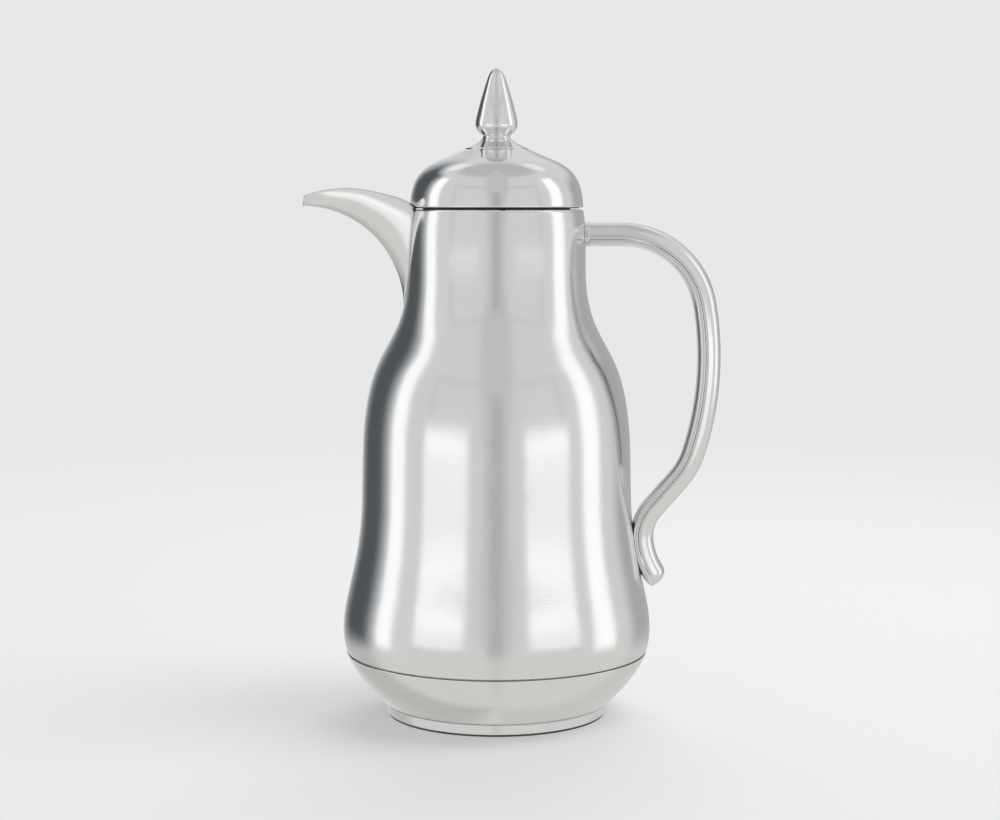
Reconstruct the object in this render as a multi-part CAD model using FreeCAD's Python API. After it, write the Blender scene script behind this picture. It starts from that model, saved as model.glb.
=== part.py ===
import FreeCAD, Part
import math
import os

# Insulated coffee pot with a beak spout, a two-part handle and a domed lid.
# Millimetres, Z up from the floor, pot axis on Z, spout towards -X, handle towards +X.

V = FreeCAD.Vector
UP = V(0, 0, 1)
ALONG_X = V(1, 0, 0)
ALONG_Y = V(0, 1, 0)
ORIGIN = V(0, 0, 0)

# Materials and clearances
sheet = 0.8                 # pressed steel of the shell, base cup, lid and spout
fit = 0.15                  # gap of pieces assembled tight in one body
run = 0.5                   # gap of pieces that move past each other
seal_gap = 0.3              # gap of a seal ring to its groove and to its bore
reach_through = 100.0       # length of a cutting tool that passes right through

# Outside of the body shell: radius and height of each station
rim_r = 40.2
rim_z = 235.4
throat_r = 41.2
throat_z = 218.0
neck_r = 42.4
neck_z = 194.0
nape_r = 45.9
nape_z = 182.0
shoulder_r = 54.7
shoulder_z = 165.0
chest_r = 60.6
chest_z = 144.0
waist_r = 62.4
waist_z = 120.0
hip_r = 63.3
hip_z = 92.0
skirt_r = 66.2
skirt_z = 72.0
flare_r = 70.2
flare_z = 54.0
bell_r = 71.8
bell_z = 41.2
seam_r = 70.3
seam_z = 30.0
seam_gap = 0.8              # dark line between the shell and the base cup
rim_round = 1.2
rim_lip = 3.0               # width of the lip turned in at the rim

# Base cup and foot
cup_upper_r = 65.1
cup_upper_z = 20.0
cup_lower_r = 58.6
cup_lower_z = 12.0
crease_r = 52.0
crease_z = 5.6
foot_r = 51.3
foot_round = 0.7
foot_band = 5.0             # width of the flat under the foot
foot_pad = 0.8              # thickness of the non-slip ring
floor_recess = 3.2          # height of the cup's floor above the foot

# Base fastening
thread_inset = 8.6          # shell's inside to the outside of the base insert's threaded collar
thread_gap = 0.4
thread_length = 14.0
plastic = 2.4               # wall of the moulded pieces
ring_step = 0.6             # the threaded ring's flange sits this far above the shell's edge
gasket_t = 2.8
gasket_width = 4.5

# Glass liner
glass = 1.8
vacuum = 3.0
neck_vacuum = 1.0
liner_gap = 1.6             # room round the liner where it passes the base fastening
liner_mouth_r = 31.0
liner_mouth_z = 192.0
liner_neck = 13.0           # straight part below the mouth
liner_shoulder = 40.0
liner_bottom_z = 20.0
liner_bowl = 34.0           # height of the rounded bottom
nib_r = 3.0
nib_length = 5.0
cushion_r = 20.0
cushion_overlap = 4.0       # how far the cushion's rim stands up round the liner

# Neck collar and pour port
sleeve_r = 28.0
sleeve_wall = 2.6
collar_gasket_t = 2.0
gasket_skirt = 4.0
funnel_drop = 5.0
port_width = 18.0
port_height = 14.0
port_z = 219.0
port_wall = 1.8
port_gasket_t = 1.5

# Stopper
seal_width = 2.6
seal_depth = 1.2
lower_seal_z = 203.0
upper_seal_z = 229.5
sleeve_bottom_z = 198.0
sleeve_flange_r = 34.0
sleeve_flange_t = 2.2
boss_r = 3.2
boss_length = 12.0
boss_count = 3
stopper_screw_r = 1.4
stopper_screw_head_r = 2.8
stopper_screw_head = 1.8
stopper_screw_length = 11.0

# Lid
lid_gap = 0.9               # dark line between the lid and the rim
lid_inset = 0.2             # how much smaller the lid's edge is than the rim
lid_lower_rise = 7.7        # stations of the dome: rise above the edge, radius
lid_lower_r = 39.1
lid_middle_rise = 14.5
lid_middle_r = 36.2
lid_upper_rise = 20.0
lid_upper_r = 29.9
lid_cap_rise = 23.7
lid_cap_r = 21.6
lid_top_rise = 27.1
lid_top_r = 13.5
lid_crown = 1.2             # rise of the dome under the rosette
lid_edge_round = 0.5        # rolled lower edge
lid_hem = 1.7
lid_hem_height = 2.2
lid_liner_skirt = 5.5
foam_gap = 0.6

# Finial
rosette_r = 14.5
rosette_height = 5.6
rosette_dip = 0.33          # height share of the trumpet half way out
finial_neck_r = 6.2
finial_r = 9.6
finial_height = 31.0
finial_shares = [             # radius and height shares of the bud, from its neck up
    (0.86, 0.06),
    (1.0, 0.145),
    (0.95, 0.30),
    (0.75, 0.535),
    (0.52, 0.765),
    (0.385, 0.885),
    (0.285, 0.943),
]
stud_r = 2.5
stud_length = 13.5
nut_width = 8.0
nut_height = 4.0
washer_r = 5.5
washer_t = 1.0

# Spout
spout_reach = 89.5
spout_root_z = 190.5
spout_tip_z = 237.0
spout_tip_depth = 5.0
spout_crown_z = 245.1
spout_crown_x = 66.0
spout_root_top = 0.8        # the root's upper edge stands this far above the rim
spout_root_half = 14.9
spout_tip_half = 3.4
spout_tip_back = 1.3        # the upper edge of the tip lies this far behind the drip point
spout_embed = 5.0           # depth of the first section, inside the neck
spout_embed_share = 0.35    # its width, as a share of the root's
spout_taper = 1.2           # power by which depth and width grow along the spout
spout_lip_flare = 1.8       # the pouring lip turns out by this much at the tip
keel_wall = 1.3             # wall at the keel, in sheet thicknesses
spout_belly = 1.5           # power of the sections' height: 1 gives a sharp keel, 2 a round one
section_shares = [-1.0, -0.8, -0.55, -0.28, 0.0, 0.28, 0.55, 0.8, 1.0]
spout_mouth = 11.5
spout_first_angle = -14.0   # sections in degrees about the middle of the keel's arc
spout_root_angle = 42.0
spout_lip_angle = 77.0
spout_tip_angle = 90.0
spout_tip_lean = 13.0       # the mouth's front leans back by this angle
past_tip = 2.0              # degrees by which the channel runs out past the tip

# Handle
handle_width = 15.0
handle_depth = 10.8
handle_inner_depth = 3.2
handle_seam = 0.3
handle_wall = 1.0
edge_band = 1.2             # straight edge of each half beside the seam
handle_top_z = 223.9
handle_reach = 98.7         # pot axis to the middle of the grip
handle_bend = 39.0
handle_sweep = 80.0
grip_turn = 18.0            # lean of the grip's lower end, in degrees
handle_knee = 34.0
ramp_slope = 41.0           # lean of the straight run from the knee to the hook
handle_hook = 20.6
handle_seat_z = 79.0
handle_seat_sink = 2.0      # the inner half is let in by this much where it sits on the body
handle_tail = 19.9
tail_round = 5.4            # length of the tail's rounded end
handle_tail_bend = 36.0
ferrule_t = 1.6
ferrule_proud = 0.25
screw_r = 2.0
screw_head_r = 3.6
screw_head = 2.2
screw_washer_r = 4.6
screw_washer_t = 0.8
anchor_length = 12.0


# Helpers

def point(r, z):
    return V(r, 0, z)


def line(a, b):
    return Part.LineSegment(a, b).toShape()


def curve_through(points):
    curve = Part.BSplineCurve()
    curve.interpolate(points)
    return curve


def unit(x, z):
    return V(x, 0, z).normalize()


def tangent_curve(points, first, last):
    """Curve through points that sets out along first and arrives along last, both of length 1."""
    curve = Part.BSplineCurve()
    curve.interpolate(Points=points, InitialTangent=first, FinalTangent=last, Scale=False)
    return curve


def spread(low, high, count):
    """Even steps from low up to, but without, high."""
    return [low + (high - low) * step / count for step in range(count)]


def arc(a, middle, b):
    return Part.Arc(a, middle, b).toShape()


def revolved(edges):
    face = Part.Face(Part.Wire(Part.__sortEdges__(edges)))
    return face.revolve(ORIGIN, UP, 360)


def turned(points):
    return Part.Face(Part.makePolygon(points + points[:1])).revolve(ORIGIN, UP, 360)


def ring(inner, outer, low, high):
    return turned([point(inner, low), point(outer, low), point(outer, high), point(inner, high)])


def radius_at(curve, z):
    low = curve.FirstParameter
    high = curve.LastParameter
    rising = curve.value(high).z > curve.value(low).z
    for step in range(50):
        middle = (low + high) / 2
        if (curve.value(middle).z < z) == rising:
            low = middle
        else:
            high = middle
    return curve.value(low)


def inset_points(curve, stations, depth):
    moved = []
    for place in stations:
        tangent = curve.tangent(curve.parameter(place))[0]
        side = V(tangent.z, 0, -tangent.x)
        if side.x > 0:
            side = side.negative()
        moved.append(place + side * depth)
    return moved


def stadium(width, height, z):
    half = (width - height) / 2
    radius = height / 2
    right_low = V(0, half, z - radius)
    right_high = V(0, half, z + radius)
    left_high = V(0, -half, z + radius)
    left_low = V(0, -half, z - radius)
    edges = [
        arc(right_low, V(0, half + radius, z), right_high),
        line(right_high, left_high),
        arc(left_high, V(0, -half - radius, z), left_low),
        line(left_low, right_low),
    ]
    return Part.Face(Part.Wire(edges))


def rod_x(radius, x_low, x_high, z):
    return Part.makeCylinder(radius, x_high - x_low, V(x_low, 0, z), ALONG_X)


# Body outline, shared by every piece that meets the shell

shell_bottom_z = seam_z + seam_gap / 2
cup_top_z = seam_z - seam_gap / 2
body_stations = [
    point(seam_r, shell_bottom_z),
    point(bell_r, bell_z),
    point(flare_r, flare_z),
    point(skirt_r, skirt_z),
    point(hip_r, hip_z),
    point(waist_r, waist_z),
    point(chest_r, chest_z),
    point(shoulder_r, shoulder_z),
    point(nape_r, nape_z),
    point(neck_r, neck_z),
    point(throat_r, throat_z),
    point(rim_r, rim_z - rim_round),
]
body_outline = curve_through(body_stations)
inner_stations = inset_points(body_outline, body_stations, sheet)
inner_stations[0] = point(seam_r - sheet, shell_bottom_z)
inner_stations[-1] = point(rim_r - sheet, rim_z - sheet)
body_inline = curve_through(inner_stations)
lip_r = rim_r - rim_lip
lid_z = rim_z + lid_gap
lid_r = rim_r - lid_inset
neck_inner_r = rim_r - sheet


def shell_r(z):
    return radius_at(body_outline, z).x


def shell_inner_r(z):
    return radius_at(body_inline, z).x


def body_core(curve, step_in, top_z):
    """Solid inside a body curve, with the curve moved step_in towards the axis."""
    moved = curve.copy()
    moved.translate(V(-step_in, 0, 0))
    low = moved.value(moved.FirstParameter)
    high = moved.value(moved.LastParameter)
    edges = [
        moved.toShape(),
        line(high, point(high.x, top_z)),
        line(point(high.x, top_z), point(0, top_z)),
        line(point(0, top_z), point(0, low.z)),
        line(point(0, low.z), low),
    ]
    return revolved(edges)


outside_core = body_core(body_outline, -fit / 3, rim_z)
inside_core = body_core(body_inline, fit / 3, rim_z)


def port_prism(grow, x_far):
    face = stadium(port_width + 2 * grow, port_height + 2 * grow, port_z)
    return face.extrude(V(-x_far, 0, 0))


# Body pieces

def make_body_shell():
    corner = V(rim_r - rim_round, 0, rim_z - rim_round)
    half_turn = rim_round * math.sqrt(0.5)
    top = point(rim_r - rim_round, rim_z)
    edges = [
        body_outline.toShape(),
        arc(body_stations[-1], corner + V(half_turn, 0, half_turn), top),
        line(top, point(lip_r, rim_z)),
        line(point(lip_r, rim_z), point(lip_r, rim_z - sheet)),
        line(point(lip_r, rim_z - sheet), inner_stations[-1]),
        body_inline.toShape(),
        line(inner_stations[0], body_stations[0]),
    ]
    shell = revolved(edges)
    shell = shell.cut(port_prism(0, reach_through))
    for z in (handle_top_z, lower_screw_z):
        shell = shell.cut(rod_x(screw_r + fit, 0, reach_through, z))
    return shell


cup_stations = [
    point(seam_r, cup_top_z),
    point(cup_upper_r, cup_upper_z),
    point(cup_lower_r, cup_lower_z),
    point(crease_r, crease_z),
]
cup_outline = curve_through(cup_stations)
cup_inner_stations = inset_points(cup_outline, cup_stations, sheet)
cup_inner_stations[0] = point(cup_inner_stations[0].x, cup_top_z)
cup_inner_stations[-1] = point(crease_r - sheet, cup_inner_stations[-1].z)
cup_inline = curve_through(cup_inner_stations)
foot_z = foot_pad
foot_inner_r = foot_r - foot_round - foot_band
cup_floor_z = foot_z + floor_recess
cup_floor_top = cup_floor_z + sheet


def make_base_cup():
    round_top = point(foot_r, foot_z + foot_round)
    round_low = point(foot_r - foot_round, foot_z)
    half_turn = foot_round * math.sqrt(0.5)
    round_middle = V(foot_r - foot_round + half_turn, 0, foot_z + foot_round - half_turn)
    path = [
        round_low,
        point(foot_inner_r, foot_z),
        point(foot_inner_r - sheet, cup_floor_z),
        point(0, cup_floor_z),
        point(0, cup_floor_top),
        point(foot_inner_r, cup_floor_top),
        point(foot_inner_r + sheet, foot_z + sheet),
        point(foot_r - foot_round, foot_z + sheet),
        point(foot_r - sheet, foot_z + foot_round + sheet),
        cup_inner_stations[-1],
    ]
    edges = [line(a, b) for a, b in zip(path, path[1:])]
    edges += [
        cup_inline.toShape(),
        line(cup_inner_stations[0], cup_stations[0]),
        cup_outline.toShape(),
        line(cup_stations[-1], round_top),
        arc(round_top, round_middle, round_low),
    ]
    return revolved(edges)


def make_foot_ring():
    return ring(foot_inner_r + fit, foot_r - foot_round, 0, foot_pad)


ring_flange_z = shell_bottom_z + ring_step
insert_flange_z = ring_flange_z - gasket_t
thread_top_z = ring_flange_z + thread_length
thread_r = min(shell_inner_r(ring_flange_z), shell_inner_r(thread_top_z)) - thread_inset


def cup_inner_r(z):
    return radius_at(cup_inline, z).x


def make_body_thread_ring():
    inner = thread_r + thread_gap
    flange_top_z = ring_flange_z + plastic
    return turned([
        point(inner, ring_flange_z),
        point(shell_inner_r(ring_flange_z) - fit, ring_flange_z),
        point(shell_inner_r(flange_top_z) - fit, flange_top_z),
        point(inner + plastic, flange_top_z),
        point(inner + plastic, thread_top_z),
        point(inner, thread_top_z),
    ])


def make_base_insert():
    collar_in = thread_r - plastic
    flange_low = insert_flange_z - plastic
    flange_r = min(cup_inner_r(flange_low), cup_inner_r(insert_flange_z)) - fit
    foot_out = foot_inner_r - 2 * sheet
    floor_top = cup_floor_top + plastic
    return turned([
        point(0, cup_floor_top),
        point(foot_out, cup_floor_top),
        point(thread_r, flange_low - plastic),
        point(thread_r, flange_low),
        point(flange_r, flange_low),
        point(flange_r, insert_flange_z),
        point(thread_r, insert_flange_z),
        point(thread_r, thread_top_z - fit),
        point(collar_in, thread_top_z - fit),
        point(collar_in, flange_low - plastic),
        point(foot_out - plastic, floor_top),
        point(0, floor_top),
    ])


def make_base_gasket():
    cup_side = min(cup_inner_r(insert_flange_z), cup_inner_r(cup_top_z))
    shell_side = min(shell_inner_r(shell_bottom_z), shell_inner_r(ring_flange_z))
    outer = min(cup_side, shell_side) - fit
    return ring(outer - gasket_width, outer, insert_flange_z, ring_flange_z)


# Glass liner: an outer and an inner bottle, fused at the mouth

liner_room = min(shell_inner_r(z) for z in (hip_z, waist_z, chest_z))
liner_r = min(thread_r - plastic, liner_room) - liner_gap


def bottle_edges(step_in, neck_step, top_z):
    """Outline of one glass surface, from its bottom on the axis up to the neck."""
    neck = liner_mouth_r - neck_step
    belly = liner_r - step_in
    shoulder_top = liner_mouth_z - liner_neck
    shoulder_low = shoulder_top - liner_shoulder
    bowl_top = liner_bottom_z + liner_bowl
    low = liner_bottom_z + step_in
    down = V(0, 0, -1)
    shoulder = tangent_curve([point(neck, shoulder_top), point(belly, shoulder_low)], down, down)
    bowl = tangent_curve([point(belly, bowl_top), point(0, low)], down, unit(-1, 0))
    return [
        line(point(neck, top_z), point(neck, shoulder_top)),
        shoulder.toShape(),
        line(point(belly, shoulder_low), point(belly, bowl_top)),
        bowl.toShape(),
    ]


lip_seam_z = liner_mouth_z - glass
inner_step = glass + vacuum
inner_neck_step = glass + neck_vacuum


def glass_wall(step_in, neck_step, rim):
    """One bottle of the liner, as thick as the glass, closed at the top by the rim's points."""
    outside_low = point(0, liner_bottom_z + step_in)
    inside_low = point(0, liner_bottom_z + step_in + glass)
    edges = bottle_edges(step_in, neck_step, rim[0].z)
    edges += bottle_edges(step_in + glass, neck_step + glass, rim[-1].z)
    edges += [line(a, b) for a, b in zip(rim, rim[1:])]
    edges.append(line(outside_low, inside_low))
    return revolved(edges)


def make_liner_outer():
    rim = [point(liner_mouth_r, lip_seam_z), point(liner_mouth_r - glass, lip_seam_z)]
    nib = Part.makeCone(nib_r, nib_r / 2, nib_length, point(0, liner_bottom_z + glass / 2), UP.negative())
    return glass_wall(0, 0, rim).fuse(nib).removeSplitter()


def make_liner_inner():
    neck = liner_mouth_r - inner_neck_step
    rim = [
        point(neck, lip_seam_z),
        point(liner_mouth_r, lip_seam_z),
        point(liner_mouth_r, liner_mouth_z),
        point(neck - glass, liner_mouth_z),
    ]
    return glass_wall(inner_step, inner_neck_step, rim)


def make_liner_cushion():
    low = cup_floor_top + plastic
    high = liner_bottom_z + cushion_overlap
    block = ring(nib_r + 2 * plastic, cushion_r, low, high)
    bowl = bottle_edges(-fit, -fit, liner_mouth_z)
    axis = line(point(0, liner_bottom_z - fit), point(0, liner_mouth_z))
    lid = line(point(0, liner_mouth_z), point(liner_mouth_r + fit, liner_mouth_z))
    return block.cut(revolved(bowl + [axis, lid]))


# Neck collar

collar_top_z = rim_z - sheet
collar_low_z = liner_mouth_z + collar_gasket_t
bore_r = sleeve_r + run
nozzle_core = body_core(body_inline, port_gasket_t, rim_z)


def make_collar_gasket():
    inner = liner_mouth_r - inner_neck_step - glass
    outer = liner_mouth_r + plastic
    return turned([
        point(inner, liner_mouth_z),
        point(liner_mouth_r + fit, liner_mouth_z),
        point(liner_mouth_r + fit, liner_mouth_z - gasket_skirt),
        point(outer, liner_mouth_z - gasket_skirt),
        point(outer, collar_low_z),
        point(inner, collar_low_z),
    ])


def make_neck_collar():
    tube = bore_r + plastic
    wall_r = neck_inner_r - fit
    funnel_z = collar_top_z - funnel_drop
    port_top_z = port_z + port_height / 2 + port_wall
    skirt_low_z = max(port_top_z, handle_top_z + screw_washer_r) + run
    body = turned([
        point(bore_r, collar_low_z),
        point(liner_mouth_r + plastic, collar_low_z),
        point(liner_mouth_r + plastic, collar_low_z + plastic),
        point(tube, collar_low_z + plastic),
        point(tube, funnel_z - plastic),
        point(wall_r - plastic, collar_top_z - plastic - funnel_drop / 4),
        point(wall_r - plastic, skirt_low_z),
        point(wall_r, skirt_low_z),
        point(wall_r, collar_top_z),
        point(lip_r, collar_top_z),
        point(bore_r, funnel_z),
    ])
    bore = Part.makeCylinder(bore_r, reach_through, point(0, collar_low_z))
    nozzle = port_prism(port_wall, reach_through).common(nozzle_core)
    body = body.fuse(nozzle.cut(bore)).cut(port_prism(0, reach_through))
    return body.removeSplitter()


def make_port_gasket():
    tube = port_prism(port_wall, reach_through).cut(port_prism(0, reach_through))
    return tube.common(inside_core).cut(nozzle_core)


# Stopper

lid_under_z = rim_z + run


def groove(z):
    low = z - seal_width / 2 - seal_gap
    high = z + seal_width / 2 + seal_gap
    return ring(sleeve_r - seal_depth, sleeve_r + run, low, high)


def make_stopper_sleeve():
    inner = sleeve_r - sleeve_wall
    body = turned([
        point(inner, sleeve_bottom_z),
        point(sleeve_r, sleeve_bottom_z),
        point(sleeve_r, lid_under_z - sleeve_flange_t),
        point(sleeve_flange_r, lid_under_z - sleeve_flange_t),
        point(sleeve_flange_r, lid_under_z),
        point(inner, lid_under_z),
    ])
    boss_low = lid_under_z - boss_length
    room = Part.makeCylinder(sleeve_r - sleeve_wall / 2, boss_length, point(0, boss_low))
    for place in boss_places(boss_low):
        body = body.fuse(Part.makeCylinder(boss_r, boss_length, place).common(room))
    for z in (lower_seal_z, upper_seal_z):
        body = body.cut(groove(z))
    window = port_prism(0, reach_through).mirror(ORIGIN, ALONG_X)
    body = body.cut(window)
    for place in boss_places(lid_under_z - stopper_screw_length):
        body = body.cut(Part.makeCylinder(stopper_screw_r, stopper_screw_length, place))
    return body.removeSplitter()


def boss_places(z):
    radius = sleeve_r - sleeve_wall - boss_r / 2
    places = []
    for index in range(boss_count):
        angle = math.pi / boss_count * (2 * index + 1)
        places.append(V(radius * math.cos(angle), radius * math.sin(angle), z))
    return places


def make_sleeve_seals():
    outer = bore_r - seal_gap
    inner = sleeve_r - seal_depth + seal_gap
    half = seal_width / 2
    rings = [ring(inner, outer, z - half, z + half) for z in (lower_seal_z, upper_seal_z)]
    return Part.makeCompound(rings)


def make_stopper_screws():
    screws = []
    top = lid_under_z + plastic
    for place in boss_places(lid_under_z - stopper_screw_length + fit):
        shank = Part.makeCylinder(stopper_screw_r - fit / 3, top - place.z, place)
        head = Part.makeCylinder(stopper_screw_head_r, stopper_screw_head, V(place.x, place.y, top))
        screws.append(shank.fuse(head).removeSplitter())
    return Part.makeCompound(screws)


# Lid

dome_flat_r = washer_r + 2 * sheet
dome_stations = [
    point(lid_r, lid_z),
    point(lid_lower_r, lid_z + lid_lower_rise),
    point(lid_middle_r, lid_z + lid_middle_rise),
    point(lid_upper_r, lid_z + lid_upper_rise),
    point(lid_cap_r, lid_z + lid_cap_rise),
    point(lid_top_r, lid_z + lid_top_rise),
    point(dome_flat_r, lid_z + lid_top_rise + lid_crown),
]
dome_outline = tangent_curve(dome_stations, UP, unit(-1, 0))
dome_inner_stations = inset_points(dome_outline, dome_stations, sheet)
dome_inner_stations[-1] = dome_stations[-1] - UP * sheet
dome_inline = tangent_curve(dome_inner_stations, UP, unit(-1, 0))
dome_top_z = dome_stations[-1].z


def dome_solid(curve, low_z):
    first = curve.value(curve.FirstParameter)
    last = curve.value(curve.LastParameter)
    edges = [
        curve.toShape(),
        line(last, point(0, last.z)),
        line(point(0, last.z), point(0, low_z)),
        line(point(0, low_z), point(first.x, low_z)),
    ]
    if abs(first.z - low_z) > fit / 10:
        edges.append(line(point(first.x, low_z), first))
    return revolved(edges)


def make_lid_dome():
    outer = dome_solid(dome_outline, lid_z)
    hollow = dome_solid(dome_inline, lid_z)
    hem_ring = ring(lid_r - lid_hem, lid_r + run, lid_z, lid_z + lid_hem_height)
    hem = hem_ring.common(outer)
    dome = outer.cut(hollow).fuse(hem)
    dome = dome.cut(Part.makeCylinder(stud_r + fit, reach_through, point(0, lid_z)))
    dome = dome.removeSplitter()
    lower_edges = [edge for edge in dome.Edges if edge.BoundBox.ZMax < lid_z + fit]
    rolled = max(lower_edges, key=lambda edge: edge.BoundBox.XMax)
    return dome.makeFillet(lid_edge_round, [rolled])


liner_top_z = lid_under_z + plastic


def make_lid_liner():
    rim_out = lid_r - lid_hem - fit
    skirt_top = liner_top_z + lid_liner_skirt
    body = turned([
        point(0, lid_under_z),
        point(rim_out, lid_under_z),
        point(rim_out, skirt_top),
        point(rim_out - plastic, skirt_top),
        point(rim_out - plastic, liner_top_z),
        point(0, liner_top_z),
    ])
    for place in boss_places(lid_under_z):
        body = body.cut(Part.makeCylinder(stopper_screw_r + fit, plastic, place))
    return body


nut_low_z = dome_top_z - sheet - washer_t - nut_height


def make_lid_insulation():
    low = liner_top_z + stopper_screw_head + foam_gap
    outer = lid_r - lid_hem - plastic - 2 * fit
    block = Part.makeCylinder(outer, dome_top_z - low, point(0, low))
    inside = dome_solid(dome_inline, lid_z).translated(V(0, 0, -foam_gap))
    pocket = Part.makeCylinder(washer_r + foam_gap, reach_through, point(0, low))
    return block.common(inside).cut(pocket)


rosette_low_z = lid_z + lid_top_rise
rosette_top_z = rosette_low_z + rosette_height
finial_top_z = rosette_top_z + finial_height


def make_finial_rosette():
    edge = point(rosette_r, rosette_low_z - sheet)
    edge_top = point(rosette_r, rosette_low_z)
    middle = point((rosette_r + finial_neck_r) / 2, rosette_low_z + rosette_height * rosette_dip)
    neck = point(finial_neck_r, rosette_top_z)
    flare = tangent_curve([edge_top, middle, neck], unit(-1, 0.4), unit(-0.2, 1))
    edges = [
        flare.toShape(),
        line(neck, point(stud_r + fit, rosette_top_z)),
        line(point(stud_r + fit, rosette_top_z), point(stud_r + fit, edge.z)),
        line(point(stud_r + fit, edge.z), edge),
        line(edge, edge_top),
    ]
    return revolved(edges).cut(dome_solid(dome_outline, lid_z))


def make_finial():
    low = rosette_top_z
    tip = point(0, finial_top_z)
    stations = [point(finial_neck_r, low)]
    for wide, high in finial_shares:
        stations.append(point(finial_r * wide, low + finial_height * high))
    stations.append(tip)
    bud = tangent_curve(stations, unit(1, 0.7), unit(-1, 0))
    stud_low = low - stud_length
    edges = [
        bud.toShape(),
        line(tip, point(0, stud_low)),
        line(point(0, stud_low), point(stud_r, stud_low)),
        line(point(stud_r, stud_low), point(stud_r, low)),
        line(point(stud_r, low), stations[0]),
    ]
    return revolved(edges)


def make_finial_washer():
    top = dome_top_z - sheet
    return ring(stud_r + fit, washer_r, top - washer_t, top)


def make_finial_nut():
    corner = nut_width / math.sqrt(3)
    turns = [math.pi / 3 * step for step in range(7)]
    outline = [V(corner * math.cos(a), corner * math.sin(a), nut_low_z) for a in turns]
    block = Part.Face(Part.makePolygon(outline)).extrude(UP * nut_height)
    return block.cut(Part.makeCylinder(stud_r + fit / 3, nut_height, point(0, nut_low_z)))


# Spout: a closed beak lofted through planes that fan about the middle of its keel's arc

keel_a = spout_reach - shell_r(spout_root_z)
keel_b = spout_tip_z - spout_root_z
top_tip = point(-spout_reach + spout_tip_back, spout_tip_z + spout_tip_depth)
top_crown = point(-spout_crown_x, spout_crown_z)
top_root = point(-lip_r, rim_z + spout_root_top)
top_circle = arc(top_tip, top_crown, top_root).Curve
spout_fan = spread(spout_first_angle, spout_root_angle, 4)
spout_fan += spread(spout_root_angle, spout_lip_angle, 3)
spout_fan += spread(spout_lip_angle, spout_tip_angle, 2)
lid_room = Part.makeCylinder(lid_r + run, reach_through, point(0, rim_z - rim_round))


def keel_point(degrees):
    angle = math.radians(degrees)
    return point(-spout_reach + keel_a * math.cos(angle), spout_root_z + keel_b * math.sin(angle))


def lip_share(degrees):
    """How far along the pouring lip this angle of the fan is, from 0 at its start to 1 at the tip."""
    return max(0, (degrees - spout_lip_angle) / (spout_tip_angle - spout_lip_angle))


def fan_line(degrees):
    """Direction from the keel to the top edge at this angle of the fan."""
    angle = math.radians(degrees - spout_tip_lean * lip_share(degrees))
    return V(math.cos(angle), 0, math.sin(angle))


def reach_to_top(degrees):
    """Distance from the keel to the top edge along the fan line at this angle."""
    offset = keel_point(degrees) - top_circle.Center
    half = offset.dot(fan_line(degrees))
    return math.sqrt(half * half - offset.dot(offset) + top_circle.Radius ** 2) - half


def section_size(degrees):
    """Depth and half width of the spout's section at this angle of the fan."""
    if degrees < spout_root_angle:
        share = (degrees - spout_first_angle) / (spout_root_angle - spout_first_angle)
        depth = spout_embed + (reach_to_top(spout_root_angle) - spout_embed) * share ** spout_taper
        grown = spout_embed_share + (1 - spout_embed_share) * math.sin(math.pi / 2 * share)
        return depth, spout_root_half * grown
    share = max(math.cos(math.radians(degrees)) / math.cos(math.radians(spout_root_angle)), 0)
    half = spout_tip_half + (spout_root_half - spout_tip_half) * share ** spout_taper
    return reach_to_top(degrees), half


def spout_section(degrees, wall):
    """Curve across the spout, from one top edge round the keel to the other."""
    away = fan_line(degrees)
    depth, half = section_size(degrees)
    low = wall * keel_wall
    points = []
    for share in section_shares:
        rise = abs(share)
        widen = math.copysign(spout_lip_flare * max(0, rise + lip_share(degrees) - 1), share)
        y = (half - wall) * math.sin(math.pi / 2 * share) + widen
        height = low + (depth - wall - low) * rise ** spout_belly
        points.append(keel_point(degrees) + away * height + ALONG_Y * y)
    return Part.Wire(curve_through(points).toShape())


def spout_solid(last_angle, wall):
    hull = Part.makeLoft([spout_section(degrees, wall) for degrees in spout_fan + [last_angle]])
    faces = list(hull.Faces)
    sides = []
    for edge in hull.Edges:
        first = edge.Vertexes[0].Point
        last = edge.Vertexes[-1].Point
        if first.y * last.y > 0:
            sides.append(edge)
        else:
            faces.append(Part.Face(Part.Wire([edge, line(first, last)])))
    faces.append(Part.makeRuledSurface(sides[0], sides[1]))
    shell = Part.makeShell(faces)
    shell.sewShape()
    solid = Part.makeSolid(shell)
    if solid.Volume < 0:
        solid.reverse()
    return solid


def make_spout():
    outer = spout_solid(spout_tip_angle, 0)
    channel = spout_solid(spout_tip_angle + past_tip, sheet)
    mouth_place = point(-spout_reach, spout_tip_z + spout_tip_depth / 2)
    mouth_leaf = Part.Ellipse(mouth_place, spout_mouth, spout_tip_half + spout_lip_flare)
    mouth = Part.Face(Part.Wire(mouth_leaf.toShape())).extrude(UP * reach_through)
    opening = channel.translated(UP * 2 * sheet).common(mouth)
    beak = outer.cut(outside_core.fuse(lid_room)).cut(channel).cut(opening)
    return max(beak.Solids, key=lambda solid: solid.Volume)


# Handle: two pressed halves swept along one path of straight runs and arcs

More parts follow.
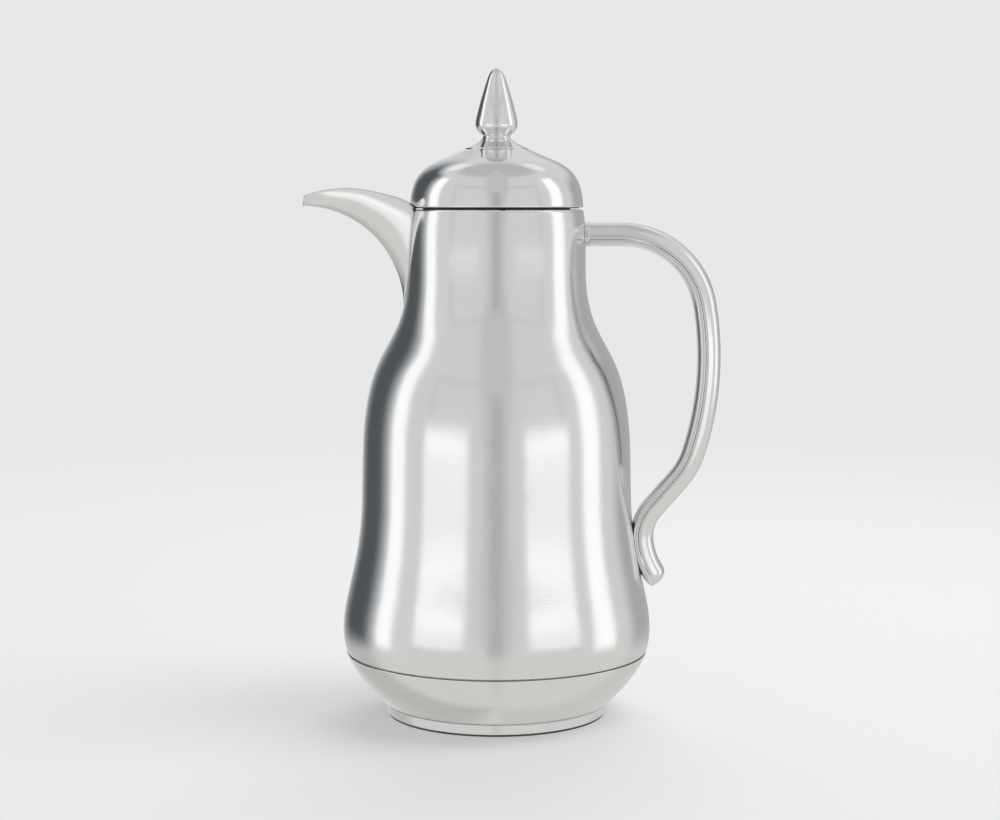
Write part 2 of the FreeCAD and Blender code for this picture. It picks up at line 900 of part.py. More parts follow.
class Path:
    """A run of lines and arcs in the XZ plane, with the heading in degrees."""

    def __init__(self, start, heading):
        self.start = start
        self.place = start
        self.first_heading = heading
        self.heading = heading
        self.edges = []

    def ahead(self):
        angle = math.radians(self.heading)
        return V(math.cos(angle), 0, math.sin(angle))

    def left(self):
        angle = math.radians(self.heading + 90)
        return V(math.cos(angle), 0, math.sin(angle))

    def straight(self, length):
        end = self.place + self.ahead() * length
        self.edges.append(line(self.place, end))
        self.place = end

    def bend(self, radius, turn):
        side = math.copysign(radius, turn)
        centre = self.place + self.left() * side
        spin = FreeCAD.Rotation(ALONG_Y, -turn)
        half_spin = FreeCAD.Rotation(ALONG_Y, -turn / 2)
        arm = self.place - centre
        middle = centre + half_spin.multVec(arm)
        end = centre + spin.multVec(arm)
        self.edges.append(arc(self.place, middle, end))
        self.place = end
        self.heading += turn


seat = radius_at(body_outline, handle_seat_z)
seat_tangent = body_outline.tangent(body_outline.parameter(seat))[0]
seat_heading = math.degrees(math.atan2(-abs(seat_tangent.z), abs(seat_tangent.x)))
seat_out = V(-math.sin(math.radians(seat_heading)), 0, math.cos(math.radians(seat_heading)))
seat_middle = seat + seat_out * (handle_depth / 2 - handle_seat_sink)
lower_screw_z = seat_middle.z
approach = -90.0 - ramp_slope
handle_start_x = shell_r(handle_top_z) + ferrule_t


def bend_step(radius, heading, turn):
    """Displacement of a bend, without drawing it."""
    probe = Path(ORIGIN, heading)
    probe.bend(radius, turn)
    return probe.place


def handle_path(tail_length):
    """The handle's middle line; the long side's bend and the ramp's length close it on the seat."""
    rest_turn = 90.0 - handle_sweep
    shoulder = bend_step(handle_bend, 0.0, -handle_sweep)
    knee = bend_step(handle_knee, -90.0 - grip_turn, grip_turn - ramp_slope)
    hook = bend_step(handle_hook, approach, seat_heading - approach)
    slope = math.radians(ramp_slope)
    side_in = 1 - math.cos(math.radians(grip_turn))
    side_down = math.sin(math.radians(rest_turn)) + math.sin(math.radians(grip_turn))
    inwards = handle_reach + knee.x + hook.x - seat_middle.x
    downwards = handle_top_z + shoulder.z + knee.z + hook.z - seat_middle.z
    divisor = side_down * math.sin(slope) - side_in * math.cos(slope)
    side_bend = (downwards * math.sin(slope) - inwards * math.cos(slope)) / divisor
    ramp = (inwards * side_down - downwards * side_in) / divisor
    side_out = side_bend * (1 - math.cos(math.radians(rest_turn)))
    path = Path(point(handle_start_x, handle_top_z), 0.0)
    path.straight(handle_reach - shoulder.x - side_out - handle_start_x)
    path.bend(handle_bend, -handle_sweep)
    path.bend(side_bend, -rest_turn - grip_turn)
    path.bend(handle_knee, grip_turn - ramp_slope)
    path.straight(ramp)
    path.bend(handle_hook, seat_heading - approach)
    path.bend(handle_tail_bend, math.degrees(tail_length / handle_tail_bend))
    return path


def half_section(base, rise, half_width, edge):
    """A D-shaped section: flat at base, straight edges, then a rounded back up to rise."""
    spring = base + edge
    quarter = math.sqrt(0.5)
    shoulder = spring + (rise - spring) * quarter
    flat_left = V(0, -half_width, base)
    flat_right = V(0, half_width, base)
    left = V(0, -half_width, spring)
    right = V(0, half_width, spring)
    right_shoulder = V(0, half_width * quarter, shoulder)
    left_shoulder = V(0, -half_width * quarter, shoulder)
    outwards = UP * math.copysign(1, edge)
    stations = [right, right_shoulder, V(0, 0, rise), left_shoulder, left]
    back = tangent_curve(stations, outwards, outwards.negative())
    edges = [line(flat_left, flat_right), line(flat_right, right), back.toShape(), line(left, flat_left)]
    return Part.Wire(edges)


def swept(section, path):
    placed = section.copy()
    placed.Placement = FreeCAD.Placement(path.start, FreeCAD.Rotation(ALONG_Y, -path.first_heading))
    pipe = Part.BRepOffsetAPI.MakePipeShell(Part.Wire(path.edges))
    pipe.setBiNormalMode(ALONG_Y)
    pipe.add(placed)
    pipe.build()
    pipe.makeSolid()
    return pipe.shape()


half_width = handle_width / 2
half_depth = handle_depth / 2
joint_low = -half_depth + handle_inner_depth
joint_high = joint_low + handle_seam


tail_run = handle_tail - tail_round


def rounded_end(section, path):
    """The section turned about its own middle and drawn in, which closes the handle's tail."""
    one_side = Part.makeBox(handle_depth, handle_width, 2 * handle_depth, V(-half_depth, 0, -handle_depth))
    half = Part.Face(section).common(one_side).Faces[0]
    shorten = FreeCAD.Matrix()
    shorten.scale(V(tail_round / half_width, 1, 1))
    button = half.revolve(ORIGIN, UP.negative(), 180).transformGeometry(shorten)
    button.Placement = FreeCAD.Placement(path.place, FreeCAD.Rotation(ALONG_Y, -path.heading))
    return button


def closed_half(section, path):
    return swept(section, path).fuse(rounded_end(section, path)).removeSplitter()


def make_handle_outer():
    path = handle_path(tail_run)
    room = half_section(joint_high, half_depth - handle_wall, half_width - handle_wall, edge_band)
    cover = closed_half(half_section(joint_high, half_depth, half_width, edge_band), path)
    return cover.cut(swept(room, path))


def make_handle_inner():
    path = handle_path(tail_run)
    room = half_section(joint_low, -half_depth + handle_wall, half_width - handle_wall, -edge_band / 2)
    strip = closed_half(half_section(joint_low, -half_depth, half_width, -edge_band), path)
    strip = strip.cut(swept(room, path)).cut(outside_core)
    return strip.cut(rod_x(screw_r + fit, 0, handle_reach - handle_depth, lower_screw_z))


def make_handle_ferrule():
    grow = ferrule_proud
    path = Path(point(handle_start_x - 2 * ferrule_t, handle_top_z), 0.0)
    path.straight(2 * ferrule_t)
    upper = swept(half_section(0, half_depth + grow, half_width + grow, edge_band), path)
    lower = swept(half_section(0, -half_depth - grow, half_width + grow, -edge_band), path)
    saddle = upper.fuse(lower).removeSplitter().cut(outside_core)
    return saddle.cut(rod_x(screw_r + fit, 0, reach_through, handle_top_z))


def anchor_on(path, screw_z):
    """Plug that fills the hollow of the handle's outer half, tapped for a screw."""
    rise = half_depth - handle_wall - fit
    plug = swept(half_section(joint_high, rise, half_width - handle_wall - fit, edge_band), path)
    return plug.cut(rod_x(screw_r + fit / 3, 0, reach_through, screw_z))


def make_handle_anchors():
    top = Path(point(handle_start_x, handle_top_z), 0.0)
    top.straight(anchor_length)
    hook_turn = math.degrees(anchor_length / 2 / handle_hook)
    tail_turn = math.degrees(anchor_length / 2 / handle_tail_bend)
    back = Path(seat_middle, seat_heading + 180)
    back.bend(handle_hook, -hook_turn)
    low = Path(back.place, back.heading - 180)
    low.bend(handle_hook, hook_turn)
    low.bend(handle_tail_bend, tail_turn)
    return Part.makeCompound([anchor_on(top, handle_top_z), anchor_on(low, lower_screw_z)])


screw_room = handle_depth - handle_seat_sink - handle_wall - run
screw_length = screw_room + sheet + 2 * screw_washer_t


def screw_at(head_x, z):
    shank = rod_x(screw_r, head_x, head_x + screw_length, z)
    head = rod_x(screw_head_r, head_x - screw_head, head_x, z)
    return head.fuse(shank).removeSplitter()


def screw_seats():
    seats = []
    for z in (handle_top_z, lower_screw_z):
        seats.append((shell_inner_r(z) - screw_washer_t, z))
    return seats


def make_handle_screws():
    return Part.makeCompound([screw_at(x - screw_washer_t, z) for x, z in screw_seats()])


def make_handle_washers():
    washers = []
    for x, z in screw_seats():
        disc = rod_x(screw_washer_r, x - screw_washer_t, x + sheet, z)
        washers.append(disc.common(inside_core).cut(rod_x(screw_r + fit / 3, 0, reach_through, z)))
    return Part.makeCompound(washers)


parts = {
    "body_shell": make_body_shell,
    "base_cup": make_base_cup,
    "foot_ring": make_foot_ring,
    "base_gasket": make_base_gasket,
    "body_thread_ring": make_body_thread_ring,
    "base_insert": make_base_insert,
    "liner_cushion": make_liner_cushion,
    "liner_outer_glass": make_liner_outer,
    "liner_inner_glass": make_liner_inner,
    "collar_gasket": make_collar_gasket,
    "neck_collar": make_neck_collar,
    "port_gasket": make_port_gasket,
    "spout": make_spout,
    "handle_outer": make_handle_outer,
    "handle_inner": make_handle_inner,
    "handle_ferrule": make_handle_ferrule,
    "handle_anchors": make_handle_anchors,
    "handle_screws": make_handle_screws,
    "handle_washers": make_handle_washers,
    "sleeve_seals": make_sleeve_seals,
    "stopper_sleeve": make_stopper_sleeve,
    "stopper_screws": make_stopper_screws,
    "lid_liner": make_lid_liner,
    "lid_insulation": make_lid_insulation,
    "lid_dome": make_lid_dome,
    "finial_rosette": make_finial_rosette,
    "finial": make_finial,
    "finial_washer": make_finial_washer,
    "finial_nut": make_finial_nut,
}

os.makedirs("parts", exist_ok=True)
for name, make in parts.items():
    shape = make()
    shape.exportStep("parts/" + name + ".step")
    print(name, len(shape.Solids), round(shape.Volume), shape.isValid())
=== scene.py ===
"""Looks of the insulated coffee pot: its steels, seals and mouldings, in a soft pale studio."""

import math

import bmesh
import bpy
from mathutils import Matrix

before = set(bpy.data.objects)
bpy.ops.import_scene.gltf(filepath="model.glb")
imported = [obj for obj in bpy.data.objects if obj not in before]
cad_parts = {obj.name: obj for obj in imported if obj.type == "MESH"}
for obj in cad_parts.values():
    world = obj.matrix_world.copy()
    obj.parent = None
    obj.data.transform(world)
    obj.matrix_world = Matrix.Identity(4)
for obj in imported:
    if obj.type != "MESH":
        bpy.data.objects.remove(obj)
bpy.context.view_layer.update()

# Camera, in metres and degrees
CAMERA_PLACE = (0.0016, -0.96945, 0.23585)
CAMERA_TILT = 5.506
CAMERA_LENS_MM = 75.25
CAMERA_SENSOR_MM = 36.0

# Studio: azimuth runs from the camera, positive to its left, and elevation from the horizon, in degrees.
# A LEVEL is a brightness with white at 1. A SOFT is an edge's width, across and then up where it has two.
WALL_LEVEL = 0.75
CEILING_LEVEL = 0.56
CEILING_EDGE = 60.0
CEILING_SOFT = 14.0
FRAME_LEVEL = 0.67
FRAME_AZIMUTH = (57.5, 61.5)
FRAME_ELEVATION = (30.5, 34.5)
FRAME_SOFT = 2.0
REAR_LAMP_LEVEL = 0.98
REAR_LAMP_AZIMUTH = (124.0, 158.0)
REAR_LAMP_ELEVATION = (49.0, 61.0)
REAR_LAMP_SOFT = (14.0, 6.0)
BACKDROP_LEVEL = 0.80
BACKDROP_AZIMUTH = 165.0
BACKDROP_TOP = 48.0
BACKDROP_SOFT = (24.0, 14.0)
FRONT_GAP_LEVEL = 0.63
FRONT_GAP_AZIMUTH = 10.0
FRONT_GAP_SPREAD = 0.22
FRONT_GAP_SOFT = 10.0
FRONT_CORE_LEVEL = 0.51
FRONT_CORE_AZIMUTH = 5.0
FRONT_CORE_TOP = 24.0
FRONT_CORE_SOFT = (5.0, 8.0)
DRAPE_LEVEL = 0.10
DRAPE_TINT = (0.91, 1.0, 1.09)
DRAPE_AZIMUTH = (107.5, 160.0)
DRAPE_AZIMUTH_SOFT = (24.0, 40.0)
DRAPE_TOP = 43.0
DRAPE_TOP_SOFT = 12.0
FAR_SIDE_LEVEL = 0.45
FAR_SIDE_AZIMUTH = (-178.0, -121.0)
FAR_SIDE_TOP = 22.0
FAR_SIDE_SOFT = (20.0, 16.0)
STRIP_LEVEL = 1.24
LEFT_STRIP_AZIMUTH = (84.0, 101.0)
RIGHT_STRIP_AZIMUTH = (-98.0, -78.0)
STRIP_TOP = 42.0
STRIP_SOFT = (6.0, 8.0)
GROUND_LEVEL = 0.54
GROUND_SHARE = 0.28
GROUND_TINT = (1.0, 0.998, 0.98)
GROUND_EDGE = -13.0
GROUND_SOFT = 12.0
ROOM_LIGHT = 0.50

# Two white boards on the floor in front of the pot, seen only in the steel, in metres and degrees
BOARD_AZIMUTH = 41.5
BOARD_WIDTH = 0.38
BOARD_HEIGHT = 0.215
BOARD_DISTANCE = 0.51
BOARD_FOOT_LEVEL = 1.05
BOARD_GLOW = 0.19
BOARD_GLOW_RISE = (0.07, 0.15)
BOARD_EDGE_LEVEL = 0.76
BOARD_TOP_FADE = (0.155, 0.215)
BOARD_SIDE_FADE = 0.10

# Floor: its fades run from the pot's axis, in metres
FLOOR_RADIUS = 2.6
FLOOR_SIDES = 96
FLOOR_FADE = (0.08, 1.3)
FLOOR_MIRROR_FADE = (0.02, 0.058)
FLOOR_COLOUR = (0.85, 0.85, 0.845, 1.0)
FLOOR_FILL = 0.32
FLOOR_LIT = 0.85

# Soft lamps over the pot, which the steel does not mirror: place and size in metres, power in watts
LAMPS = {
    "right_lamp": ((1.35, -0.1, 2.2), 1.6, 25.0),
    "rear_lamp": ((0.2, 1.9, 2.1), 1.9, 28.0),
}

# Steel: pattern sizes in cells per metre, lengths in metres
STEEL_COLOUR = (0.797, 0.798, 0.790)
GRAIN_CELLS = 2300.0
RING_CELLS = 3200.0
RING_DRAWN_OUT = 0.03
CLOUD_CELLS = 28.0
SPECK_SHARE = 0.7
SPECK_GLOSS = 0.3
CLOUD_GLOSS = 0.25
EDGE_ROUND = 0.0006
SPOUT_EDGE_ROUND = 0.0018
EDGE_SAMPLES = 8
FOOT_TOP = 0.0056
FOOT_TOP_SOFT = 0.0004
FOOT_ROUGH = 0.05
# Painted shade in the crease above the foot: the band of heights, its soft edge, and the share of the steel
# colour left there
FOOT_CREASE = (0.0054, 0.0061)
FOOT_CREASE_SOFT = 0.0006
FOOT_CREASE_PAINTED_SHADE = 0.5

# Screws, washers and nuts
MACHINED_COLOUR = (0.62, 0.61, 0.60)
MACHINED_ROUGH = 0.30
OIL_CELLS = 260.0
OIL_SHADE = 0.78
OIL_GLOSS = 0.2
TOOL_MARK_CELLS = 5200.0
TOOL_MARK_DEPTH = 5e-6

# Mouldings
FLOW_CELLS = 90.0
FLOW_GLOSS = 0.12
PIT_GLOSS = 0.1

# Silvered glass
SILVER_COLOUR = (0.84, 0.85, 0.86)
SILVER_ROUGH = 0.05
BLOWN_CELLS = 60.0
BLOWN_DEPTH = 2e-4
TARNISH_CELLS = 180.0
TARNISH_SHADE = 0.9
TARNISH_ROUGH = 0.05

HALF = 0.5
WHITE = (1.0, 1.0, 1.0)


class Wire:
    """A node socket that takes part in arithmetic: an expression on values adds its Math nodes."""

    def __init__(self, tree, socket=None):
        self.tree = tree
        self.socket = socket

    def node(self, kind, settings=None, sockets=None, output=0):
        """Adds a node: its settings first, then the value or the link of each socket."""
        made = self.tree.nodes.new(kind)
        for name, value in (settings or {}).items():
            setattr(made, name, value)
        for name, value in (sockets or {}).items():
            if isinstance(value, Wire):
                self.tree.links.new(value.socket, made.inputs[name])
            else:
                made.inputs[name].default_value = value
        return Wire(self.tree, made.outputs[output] if made.outputs else None)

    def outputs(self, *names):
        """Other outputs of the node that this wire comes from."""
        return [Wire(self.tree, self.socket.node.outputs[name]) for name in names]

    def math(self, operation, first, second=0.0):
        return self.node("ShaderNodeMath", {"operation": operation}, {0: first, 1: second})

    def __add__(self, other):
        return self.math("ADD", self, other)

    def __sub__(self, other):
        return self.math("SUBTRACT", self, other)

    def __mul__(self, other):
        return self.math("MULTIPLY", self, other)

    def __rsub__(self, other):
        return self.math("SUBTRACT", other, self)

    __radd__ = __add__
    __rmul__ = __mul__

    def __abs__(self):
        return self.math("ABSOLUTE", self)

    def rise(self, low, high):
        """0 below low and 1 above high, with a smooth step between."""
        return self.node("ShaderNodeMapRange", {"interpolation_type": "SMOOTHSTEP"},
                         {"Value": self, "From Min": low, "From Max": high})

    def above(self, edge, soft):
        """1 above the edge and 0 below it, over a width of soft."""
        return self.rise(edge - soft / 2, edge + soft / 2)

    def below(self, edge, soft):
        """1 below the edge and 0 above it."""
        return 1 - self.above(edge, soft)

    def band(self, edges, soft):
        """1 between two edges."""
        return self.above(edges[0], soft) * self.below(edges[1], soft)

    def towards(self, level, mask):
        """This value moved to level where the mask is 1."""
        return self + (level - self) * mask

    def spread(self, reach):
        """Noise from 0 to 1 as a change to either side of nothing."""
        return (self - HALF) * reach

    def place(self):
        """The piece's own coordinates, in metres."""
        return self.node("ShaderNodeTexCoord", output="Object")

    def split(self, vector):
        """The X, Y and Z of a vector."""
        return self.node("ShaderNodeSeparateXYZ", sockets={0: vector}).outputs(*"XYZ")

    def noise(self, place, cells, detail=2.0):
        """Noise from 0 to 1, with its size in cells per metre."""
        return self.node("ShaderNodeTexNoise", sockets={"Vector": place, "Scale": cells, "Detail": detail})

    def colours(self, mask, first, second):
        """The first colour where the mask is 0 and the second where it is 1."""
        return self.node("ShaderNodeMix", {"data_type": "RGBA"},
                         {"Factor": mask, "A": first, "B": second}, output=2)

    def bump(self, height, depth, **sockets):
        """A relief that is depth metres high for each 1 of height."""
        return self.node("ShaderNodeBump", sockets={"Distance": depth, "Height": height, **sockets})


def start_nodes(owner):
    """Empties an owner's node tree and returns a wire to add nodes with."""
    owner.use_nodes = True
    owner.node_tree.nodes.clear()
    return Wire(owner.node_tree)


def shade(colour, share=1.0):
    """A colour at a share of its brightness, with its alpha."""
    return (*[share * part for part in colour], 1.0)


def studio(wire):
    """How bright each direction of the studio is, as the steel mirrors it."""
    x, y, z = wire.split(wire.node("ShaderNodeTexCoord", output="Generated"))
    azimuth = wire.math("ARCTAN2", -1 * x, -1 * y) * math.degrees(1)
    elevation = wire.math("ARCSINE", z) * math.degrees(1)
    side = abs(azimuth)
    frame_posts = side.band(FRAME_AZIMUTH, FRAME_SOFT) * elevation.below(FRAME_ELEVATION[1], FRAME_SOFT)
    frame_bar = elevation.band(FRAME_ELEVATION, FRAME_SOFT) * side.below(FRAME_AZIMUTH[1], FRAME_SOFT)
    rear_lamp = side.band(REAR_LAMP_AZIMUTH, REAR_LAMP_SOFT[0])
    rear_lamp = rear_lamp * elevation.band(REAR_LAMP_ELEVATION, REAR_LAMP_SOFT[1])
    backdrop = side.above(BACKDROP_AZIMUTH, BACKDROP_SOFT[0])
    backdrop = backdrop * elevation.below(BACKDROP_TOP, BACKDROP_SOFT[1])
    front_gap = (side - elevation * FRONT_GAP_SPREAD).below(FRONT_GAP_AZIMUTH, FRONT_GAP_SOFT)
    front_core = side.below(FRONT_CORE_AZIMUTH, FRONT_CORE_SOFT[0])
    front_core = front_core * elevation.below(FRONT_CORE_TOP, FRONT_CORE_SOFT[1])
    drape = azimuth.above(DRAPE_AZIMUTH[0], DRAPE_AZIMUTH_SOFT[0])
    drape = drape * azimuth.below(DRAPE_AZIMUTH[1], DRAPE_AZIMUTH_SOFT[1])
    drape = drape * elevation.below(DRAPE_TOP, DRAPE_TOP_SOFT)
    far_side = azimuth.band(FAR_SIDE_AZIMUTH, FAR_SIDE_SOFT[0])
    far_side = far_side * elevation.below(FAR_SIDE_TOP, FAR_SIDE_SOFT[1])
    strips = azimuth.band(LEFT_STRIP_AZIMUTH, STRIP_SOFT[0])
    strips = strips + azimuth.band(RIGHT_STRIP_AZIMUTH, STRIP_SOFT[0])
    strips = strips * elevation.band((GROUND_EDGE, STRIP_TOP), STRIP_SOFT[1])
    level = elevation.above(CEILING_EDGE, CEILING_SOFT) * (CEILING_LEVEL - WALL_LEVEL) + WALL_LEVEL
    for part, part_level in (
        (frame_posts, FRAME_LEVEL), (frame_bar, FRAME_LEVEL), (rear_lamp, REAR_LAMP_LEVEL),
        (backdrop, BACKDROP_LEVEL), (front_gap, FRONT_GAP_LEVEL), (front_core, FRONT_CORE_LEVEL),
        (drape, DRAPE_LEVEL), (far_side, FAR_SIDE_LEVEL), (strips, STRIP_LEVEL),
    ):
        level = level.towards(part_level, part)
    ground = elevation.below(GROUND_EDGE, GROUND_SOFT)
    level = level.towards(level * GROUND_SHARE + GROUND_LEVEL, ground)
    tint = wire.colours(drape, shade(WHITE), shade(DRAPE_TINT))
    tint = wire.colours(ground, tint, shade(GROUND_TINT))
    return wire.node("ShaderNodeVectorMath", {"operation": "SCALE"}, {0: tint, "Scale": level})


def light_studio():
    """Pale backdrop to the eye, the studio to mirrors, one even level to everything else, and soft lamps."""
    world = bpy.data.worlds.new("studio")
    bpy.context.scene.world = world
    wire = start_nodes(world)
    path = wire.node("ShaderNodeLightPath")
    seen, mirrored, through = path.outputs("Is Camera Ray", "Is Glossy Ray", "Is Transmission Ray")
    shine = wire.colours(mirrored + through, shade(WHITE, ROOM_LIGHT), studio(wire))
    shine = wire.colours(seen, shine, shade(WHITE, BACKDROP_LEVEL))
    background = wire.node("ShaderNodeBackground", sockets={0: shine})
    wire.node("ShaderNodeOutputWorld", sockets={"Surface": background})
    for name, (place, size, power) in LAMPS.items():
        lamp = bpy.data.lights.new(name, "AREA")
        lamp.size = size
        lamp.energy = power
        holder = bpy.data.objects.new(name, lamp)
        bpy.context.scene.collection.objects.link(holder)
        holder.location = place
        holder.rotation_euler = (-holder.location).to_track_quat("-Z", "Y").to_euler()
        holder.visible_glossy = False


def stage_piece(name, shape, material):
    """Puts a bmesh into the scene as part of the stage."""
    mesh = bpy.data.meshes.new(name)
    shape.to_mesh(mesh)
    shape.free()
    mesh.materials.append(material)
    piece = bpy.data.objects.new(name, mesh)
    bpy.context.scene.collection.objects.link(piece)
    return piece


def lay_floor():
    """A pale floor, lit a little from below.

    It fades out into the backdrop, and sooner where the steel mirrors it.
    """
    paper = bpy.data.materials.new("pale_floor")
    wire = start_nodes(paper)
    reach = wire.node("ShaderNodeVectorMath", {"operation": "LENGTH"}, {0: wire.place()}, output="Value")
    mirrored, = wire.node("ShaderNodeLightPath").outputs("Is Glossy Ray")
    faded = reach.rise(*FLOOR_FADE).towards(reach.rise(*FLOOR_MIRROR_FADE), mirrored)
    matt = wire.node("ShaderNodeBsdfDiffuse", sockets={"Color": FLOOR_COLOUR})
    lit = wire.node("ShaderNodeEmission", sockets={"Strength": FLOOR_LIT})
    filled = wire.node("ShaderNodeMixShader", sockets={0: FLOOR_FILL, 1: matt, 2: lit})
    clear = wire.node("ShaderNodeBsdfTransparent")
    surface = wire.node("ShaderNodeMixShader", sockets={0: faded, 1: filled, 2: clear})
    wire.node("ShaderNodeOutputMaterial", sockets={"Surface": surface})
    shape = bmesh.new()
    bmesh.ops.create_circle(shape, cap_ends=True, segments=FLOOR_SIDES, radius=FLOOR_RADIUS)
    stage_piece("floor", shape, paper)


def stand_boards():
    """White boards left and right of the camera, which only mirrors see."""
    white = bpy.data.materials.new("board_white")
    wire = start_nodes(white)
    height = wire.split(wire.place())[2]
    across = wire.split(wire.node("ShaderNodeUVMap"))[0]
    level = height.rise(*BOARD_GLOW_RISE) * BOARD_GLOW + BOARD_FOOT_LEVEL
    level = level.towards(BOARD_EDGE_LEVEL, height.rise(*BOARD_TOP_FADE))
    level = level.towards(BOARD_EDGE_LEVEL, abs(across - HALF).rise(HALF - BOARD_SIDE_FADE, HALF))
    glow = wire.node("ShaderNodeEmission", sockets={"Strength": level})
    wire.node("ShaderNodeOutputMaterial", sockets={"Surface": glow})
    upright = Matrix.Rotation(math.radians(90), 4, "X") @ Matrix.Diagonal((BOARD_WIDTH, BOARD_HEIGHT, 1, 1))
    stood = Matrix.Translation((0, -BOARD_DISTANCE, BOARD_HEIGHT / 2)) @ upright
    for name, turn in (("left_board", -BOARD_AZIMUTH), ("right_board", BOARD_AZIMUTH)):
        turned = Matrix.Rotation(math.radians(turn), 4, "Z") @ stood
        shape = bmesh.new()
        shape.loops.layers.uv.new("across")
        bmesh.ops.create_grid(shape, x_segments=1, y_segments=1, size=HALF, matrix=turned, calc_uvs=True)
        board = stage_piece(name, shape, white)
        board.visible_camera = False
        board.visible_diffuse = False
        board.visible_transmission = False
        board.visible_shadow = False


def place_camera():
    """The camera where the photograph was taken from, level from side to side."""
    camera = bpy.data.objects.new("camera", bpy.data.cameras.new("camera"))
    bpy.context.scene.collection.objects.link(camera)
    camera.location = CAMERA_PLACE
    camera.rotation_euler = (math.radians(90 - CAMERA_TILT), 0, 0)
    camera.data.lens = CAMERA_LENS_MM
    camera.data.sensor_width = CAMERA_SENSOR_MM
    bpy.context.scene.camera = camera


def turned_place(wire, place):
    """Coordinates drawn out round the pot's axis, so that noise on them runs in rings."""
    x, y, z = wire.split(place)
    radius = wire.math("SQRT", x * x + y * y)
    return wire.node("ShaderNodeCombineXYZ",
                     sockets={"X": radius + x * RING_DRAWN_OUT, "Y": y * RING_DRAWN_OUT, "Z": z})


def new_finish(name):
    """A new material, and a wire to add its nodes with."""
    material = bpy.data.materials.new(name)
    return material, start_nodes(material)


def close_finish(wire, **sockets):
    """Gives the last values and links of a finish to its shader."""
    named = {key.replace("_", " ").title(): value for key, value in sockets.items()}
    shader = wire.node("ShaderNodeBsdfPrincipled", sockets=named)
    wire.node("ShaderNodeOutputMaterial", sockets={"Surface": shader})


def steel(name, rough, grain, fleck, rings=0.0, waves=0.0, edge=EDGE_ROUND):
    """Bare steel: speckled grain, rings from turning and slow waves, all microns deep.

    Wear clouds its colour and gloss, and its edges are softened.
    The foot is polished bright, with painted shade darkening the crease above it.
    """
    material, wire = new_finish(name)
    place = wire.place()
    height = wire.split(place)[2]
    brushed = height.above(FOOT_TOP, FOOT_TOP_SOFT)
    speck = wire.noise(place, GRAIN_CELLS)
    turning = wire.noise(turned_place(wire, place), RING_CELLS)
    cloud = wire.noise(place, CLOUD_CELLS)
    tone = cloud * (1 - SPECK_SHARE) + speck * SPECK_SHARE
    body = wire.colours(tone, shade(STEEL_COLOUR, 1 - fleck), shade(STEEL_COLOUR, 1 + fleck))
    # Painted shade: the steel colour is darkened in the band at the crease above the foot
    crease_shade_mask = height.band(FOOT_CREASE, FOOT_CREASE_SOFT)
    gloss = (rough - FOOT_ROUGH) * brushed + FOOT_ROUGH
    relief = (speck * grain + turning * rings) * brushed + cloud * waves
    softened = wire.node("ShaderNodeBevel", {"samples": EDGE_SAMPLES}, {"Radius": edge})
    close_finish(wire, metallic=1.0,
                 base_color=wire.colours(crease_shade_mask, body, shade(STEEL_COLOUR, FOOT_CREASE_PAINTED_SHADE)),
                 roughness=gloss + speck.spread(rough * SPECK_GLOSS) + cloud.spread(rough * CLOUD_GLOSS),
                 normal=wire.bump(relief, 1.0, Normal=softened))
    return material


def machined_steel(name):
    """Plain turned and rolled steel of screws, washers and nuts, with oil-darkened patches."""
    material, wire = new_finish(name)
    place = wire.place()
    oil = wire.noise(place, OIL_CELLS, detail=4.0)
    marks = wire.noise(place, TOOL_MARK_CELLS)
    close_finish(wire, metallic=1.0,
                 base_color=wire.colours(oil, shade(MACHINED_COLOUR, OIL_SHADE), shade(MACHINED_COLOUR)),
                 roughness=MACHINED_ROUGH + oil.spread(OIL_GLOSS),
                 normal=wire.bump(marks, TOOL_MARK_DEPTH))
    return material


def moulding(name, colour, rough, pit_cells, pit_depth, mottle):
    """Moulded rubber, silicone, foam or plastic: a pitted skin and a slow mottle in its colour and gloss."""
    material, wire = new_finish(name)
    place = wire.place()
    pits = wire.noise(place, pit_cells, detail=3.0)
    flow = wire.noise(place, FLOW_CELLS, detail=3.0)
    close_finish(wire,
                 base_color=wire.colours(flow, shade(colour, 1 - mottle), shade(colour)),
                 roughness=rough + flow.spread(FLOW_GLOSS) + pits.spread(PIT_GLOSS),
                 normal=wire.bump(pits, pit_depth))
    return material


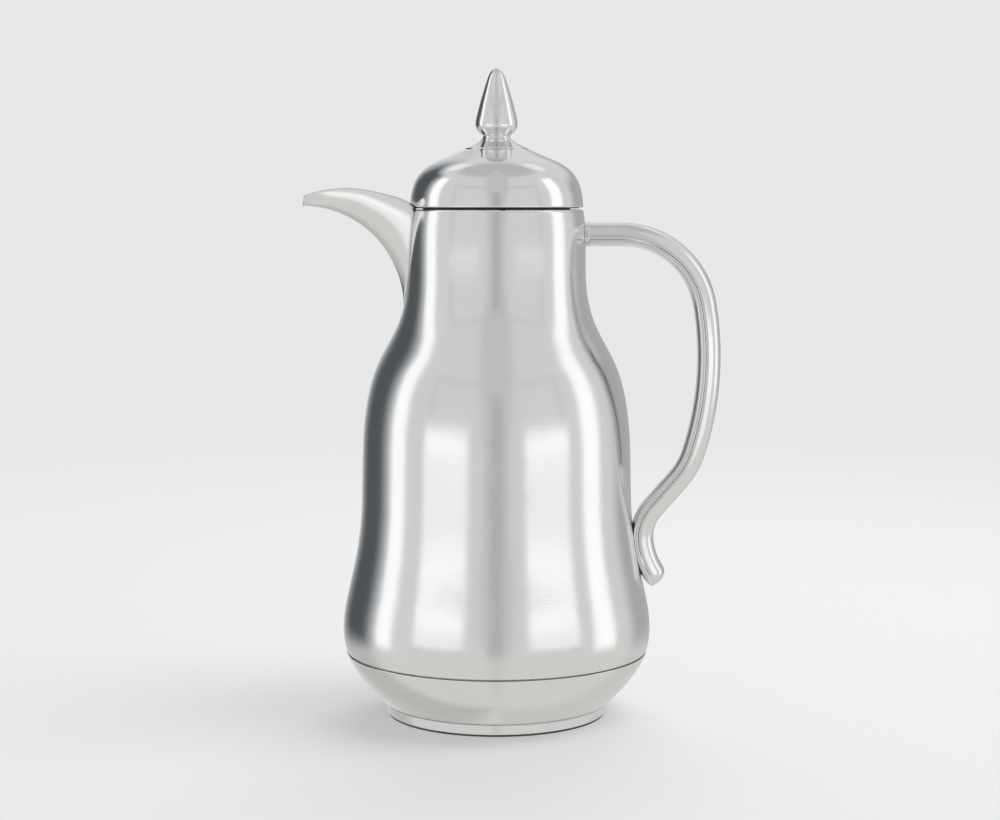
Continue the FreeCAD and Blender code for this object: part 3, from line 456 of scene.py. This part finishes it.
def silvering(name):
    """Silvered glass of the liner: a mirror with the slow waves of blown glass and a little tarnish."""
    material, wire = new_finish(name)
    place = wire.place()
    waves = wire.noise(place, BLOWN_CELLS, detail=1.0)
    tarnish = wire.noise(place, TARNISH_CELLS, detail=4.0)
    close_finish(wire, metallic=1.0,
                 base_color=wire.colours(tarnish, shade(SILVER_COLOUR, TARNISH_SHADE), shade(SILVER_COLOUR)),
                 roughness=SILVER_ROUGH + tarnish * TARNISH_ROUGH,
                 normal=wire.bump(waves, BLOWN_DEPTH))
    return material


light_studio()
lay_floor()
stand_boards()
place_camera()
bpy.context.scene.view_settings.view_transform = "Standard"

FINISHES = {
    "satin_steel": steel("satin_steel", rough=0.15, grain=10e-6, rings=16e-6, fleck=0.10, waves=8e-5),
    "lid_steel": steel("lid_steel", rough=0.11, grain=3e-6, rings=1e-6, fleck=0.05, waves=2e-5),
    "polished_steel": steel("polished_steel", rough=0.06, grain=0.4e-6, fleck=0.03),
    "spout_steel": steel("spout_steel", rough=0.18, grain=0.6e-6, fleck=0.04, waves=2e-5,
                         edge=SPOUT_EDGE_ROUND),
    "handle_steel": steel("handle_steel", rough=0.13, grain=0.6e-6, fleck=0.04, waves=2e-5),
    "plain_steel": machined_steel("plain_steel"),
    "dark_rubber": moulding("dark_rubber", (0.045, 0.045, 0.045), rough=0.62,
                            pit_cells=1500.0, pit_depth=3e-5, mottle=0.2),
    "pale_silicone": moulding("pale_silicone", (0.78, 0.77, 0.74), rough=0.45,
                              pit_cells=700.0, pit_depth=1e-5, mottle=0.06),
    "dark_plastic": moulding("dark_plastic", (0.055, 0.05, 0.045), rough=0.42,
                             pit_cells=2400.0, pit_depth=1.2e-5, mottle=0.2),
    "pale_foam": moulding("pale_foam", (0.86, 0.85, 0.80), rough=0.9,
                          pit_cells=650.0, pit_depth=4e-4, mottle=0.12),
    "silvered_glass": silvering("silvered_glass"),
}

# Pieces whose polish is softer than their slot's
SOFTER_POLISH = {
    "spout": "spout_steel",
    "handle_outer": "handle_steel",
    "handle_inner": "handle_steel",
    "handle_ferrule": "handle_steel",
}

for name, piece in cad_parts.items():
    for slot in piece.material_slots:
        slot.material = FINISHES[SOFTER_POLISH.get(name, slot.material.name)]
